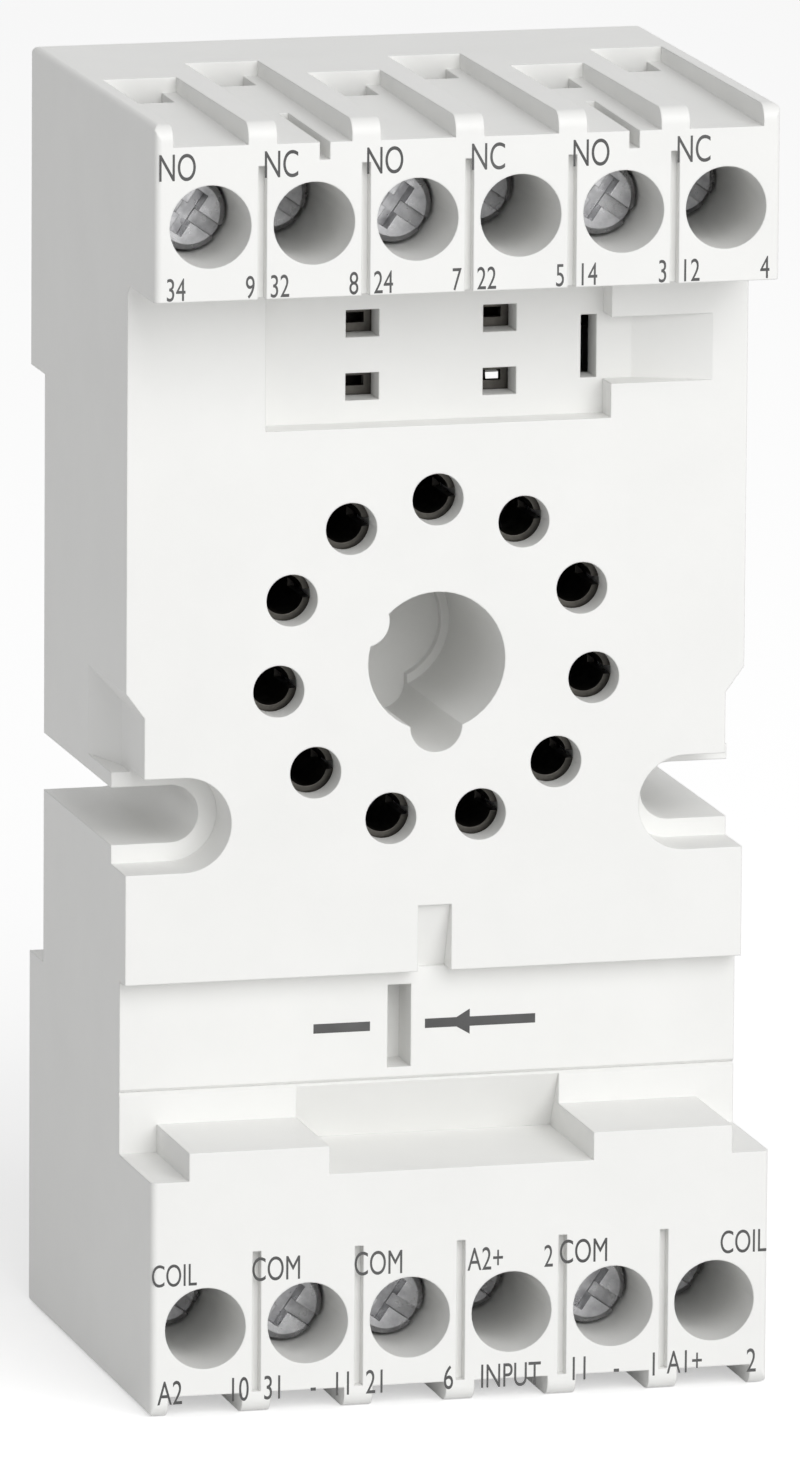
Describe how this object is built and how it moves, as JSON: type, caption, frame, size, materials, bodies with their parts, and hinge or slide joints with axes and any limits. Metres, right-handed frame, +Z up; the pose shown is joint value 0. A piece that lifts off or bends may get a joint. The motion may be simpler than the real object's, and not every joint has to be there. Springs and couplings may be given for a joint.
{
  "type": "relay socket",
  "caption": "Rail-mounted socket for a round plug-in relay, with cage-clamp screw terminals at both ends and a spring latch for the rail.",
  "frame": {"origin": "middle of the rail seat, the flat rear face that lies on the mounting rail", "axes": "+X across the socket to the right seen from the front, +Y out of the back towards the rail, +Z up along the length"},
  "size_m": [0.037, 0.0297, 0.0755],
  "materials": {
    "housing": "pale grey moulded polyamide, fine matt texture",
    "cover": "pale grey moulded polyamide, slightly darker rear moulding",
    "latch": "grey moulded acetal",
    "spring_steel": "drawn spring wire",
    "screw_steel": "bright zinc plated steel",
    "cage_brass": "nickel plated brass",
    "contact_brass": "plain brass strip"
  },
  "bodies": {
    "socket": {"front_housing": "housing", "rear_cover": "cover", "latch_spring": "spring_steel", "contact_strip_01": "contact_brass", "contact_strip_02": "contact_brass", "contact_strip_03": "contact_brass", "contact_strip_04": "contact_brass", "contact_strip_05": "contact_brass", "contact_strip_06": "contact_brass", "contact_strip_07": "contact_brass", "contact_strip_08": "contact_brass", "contact_strip_09": "contact_brass", "contact_strip_10": "contact_brass", "contact_strip_11": "contact_brass", "module_contact_left": "contact_brass", "module_contact_right": "contact_brass"},
    "latch": {"din_latch": "latch"},
    "screw_01": {"terminal_screw_01": "screw_steel"},
    "cage_01": {"clamp_cage_01": "cage_brass"},
    "screw_02": {"terminal_screw_02": "screw_steel"},
    "cage_02": {"clamp_cage_02": "cage_brass"},
    "screw_03": {"terminal_screw_03": "screw_steel"},
    "cage_03": {"clamp_cage_03": "cage_brass"},
    "screw_04": {"terminal_screw_04": "screw_steel"},
    "cage_04": {"clamp_cage_04": "cage_brass"},
    "screw_05": {"terminal_screw_05": "screw_steel"},
    "cage_05": {"clamp_cage_05": "cage_brass"},
    "screw_06": {"terminal_screw_06": "screw_steel"},
    "cage_06": {"clamp_cage_06": "cage_brass"},
    "screw_07": {"terminal_screw_07": "screw_steel"},
    "cage_07": {"clamp_cage_07": "cage_brass"},
    "screw_08": {"terminal_screw_08": "screw_steel"},
    "cage_08": {"clamp_cage_08": "cage_brass"},
    "screw_09": {"terminal_screw_09": "screw_steel"},
    "cage_09": {"clamp_cage_09": "cage_brass"},
    "screw_10": {"terminal_screw_10": "screw_steel"},
    "cage_10": {"clamp_cage_10": "cage_brass"},
    "screw_11": {"terminal_screw_11": "screw_steel"},
    "cage_11": {"clamp_cage_11": "cage_brass"},
    "screw_12": {"terminal_screw_12": "screw_steel"},
    "cage_12": {"clamp_cage_12": "cage_brass"}
  },
  "joints": [
    {"name": "latch_pull", "type": "slide", "parent": "socket", "child": "latch", "axis": [0, 0, -1], "range_m": [0, 0.0025], "stiffness_N_per_m": 400, "springref_m": -0.001, "deforming": ["latch_spring"]},
    {"name": "screw_turn_01", "type": "hinge", "parent": "socket", "child": "screw_01", "pos_m": [-0.01525, -0.0213, 0.0306], "axis": [0, 1, 0], "range_deg": [0, 1440]},
    {"name": "cage_slide_01", "type": "slide", "parent": "socket", "child": "cage_01", "axis": [0, -1, 0], "range_m": [0, 0.002]},
    {"name": "screw_turn_02", "type": "hinge", "parent": "socket", "child": "screw_02", "pos_m": [-0.00915, -0.0165, 0.0306], "axis": [0, 1, 0], "range_deg": [0, 1440]},
    {"name": "cage_slide_02", "type": "slide", "parent": "socket", "child": "cage_02", "axis": [0, -1, 0], "range_m": [0, 0.002]},
    {"name": "screw_turn_03", "type": "hinge", "parent": "socket", "child": "screw_03", "pos_m": [-0.00305, -0.0213, 0.0306], "axis": [0, 1, 0], "range_deg": [0, 1440]},
    {"name": "cage_slide_03", "type": "slide", "parent": "socket", "child": "cage_03", "axis": [0, -1, 0], "range_m": [0, 0.002]},
    {"name": "screw_turn_04", "type": "hinge", "parent": "socket", "child": "screw_04", "pos_m": [0.00305, -0.0165, 0.0306], "axis": [0, 1, 0], "range_deg": [0, 1440]},
    {"name": "cage_slide_04", "type": "slide", "parent": "socket", "child": "cage_04", "axis": [0, -1, 0], "range_m": [0, 0.002]},
    {"name": "screw_turn_05", "type": "hinge", "parent": "socket", "child": "screw_05", "pos_m": [0.00915, -0.0213, 0.0306], "axis": [0, 1, 0], "range_deg": [0, 1440]},
    {"name": "cage_slide_05", "type": "slide", "parent": "socket", "child": "cage_05", "axis": [0, -1, 0], "range_m": [0, 0.002]},
    {"name": "screw_turn_06", "type": "hinge", "parent": "socket", "child": "screw_06", "pos_m": [0.01525, -0.0165, 0.0306], "axis": [0, 1, 0], "range_deg": [0, 1440]},
    {"name": "cage_slide_06", "type": "slide", "parent": "socket", "child": "cage_06", "axis": [0, -1, 0], "range_m": [0, 0.002]},
    {"name": "screw_turn_07", "type": "hinge", "parent": "socket", "child": "screw_07", "pos_m": [-0.01525, -0.0165, -0.0338], "axis": [0, 1, 0], "range_deg": [0, 1440]},
    {"name": "cage_slide_07", "type": "slide", "parent": "socket", "child": "cage_07", "axis": [0, -1, 0], "range_m": [0, 0.002]},
    {"name": "screw_turn_08", "type": "hinge", "parent": "socket", "child": "screw_08", "pos_m": [-0.00915, -0.0213, -0.0338], "axis": [0, 1, 0], "range_deg": [0, 1440]},
    {"name": "cage_slide_08", "type": "slide", "parent": "socket", "child": "cage_08", "axis": [0, -1, 0], "range_m": [0, 0.002]},
    {"name": "screw_turn_09", "type": "hinge", "parent": "socket", "child": "screw_09", "pos_m": [-0.00305, -0.0213, -0.0338], "axis": [0, 1, 0], "range_deg": [0, 1440]},
    {"name": "cage_slide_09", "type": "slide", "parent": "socket", "child": "cage_09", "axis": [0, -1, 0], "range_m": [0, 0.002]},
    {"name": "screw_turn_10", "type": "hinge", "parent": "socket", "child": "screw_10", "pos_m": [0.00305, -0.0165, -0.0338], "axis": [0, 1, 0], "range_deg": [0, 1440]},
    {"name": "cage_slide_10", "type": "slide", "parent": "socket", "child": "cage_10", "axis": [0, -1, 0], "range_m": [0, 0.002]},
    {"name": "screw_turn_11", "type": "hinge", "parent": "socket", "child": "screw_11", "pos_m": [0.00915, -0.0213, -0.0338], "axis": [0, 1, 0], "range_deg": [0, 1440]},
    {"name": "cage_slide_11", "type": "slide", "parent": "socket", "child": "cage_11", "axis": [0, -1, 0], "range_m": [0, 0.002]},
    {"name": "screw_turn_12", "type": "hinge", "parent": "socket", "child": "screw_12", "pos_m": [0.01525, -0.0165, -0.0338], "axis": [0, 1, 0], "range_deg": [0, 1440]},
    {"name": "cage_slide_12", "type": "slide", "parent": "socket", "child": "cage_12", "axis": [0, -1, 0], "range_m": [0, 0.002]}
  ],
  "couplings": [
    {"joint": "screw_turn_01", "follows": "cage_slide_01", "rad_per_m": 12566},
    {"joint": "screw_turn_02", "follows": "cage_slide_02", "rad_per_m": 12566},
    {"joint": "screw_turn_03", "follows": "cage_slide_03", "rad_per_m": 12566},
    {"joint": "screw_turn_04", "follows": "cage_slide_04", "rad_per_m": 12566},
    {"joint": "screw_turn_05", "follows": "cage_slide_05", "rad_per_m": 12566},
    {"joint": "screw_turn_06", "follows": "cage_slide_06", "rad_per_m": 12566},
    {"joint": "screw_turn_07", "follows": "cage_slide_07", "rad_per_m": 12566},
    {"joint": "screw_turn_08", "follows": "cage_slide_08", "rad_per_m": 12566},
    {"joint": "screw_turn_09", "follows": "cage_slide_09", "rad_per_m": 12566},
    {"joint": "screw_turn_10", "follows": "cage_slide_10", "rad_per_m": 12566},
    {"joint": "screw_turn_11", "follows": "cage_slide_11", "rad_per_m": 12566},
    {"joint": "screw_turn_12", "follows": "cage_slide_12", "rad_per_m": 12566}
  ]
}
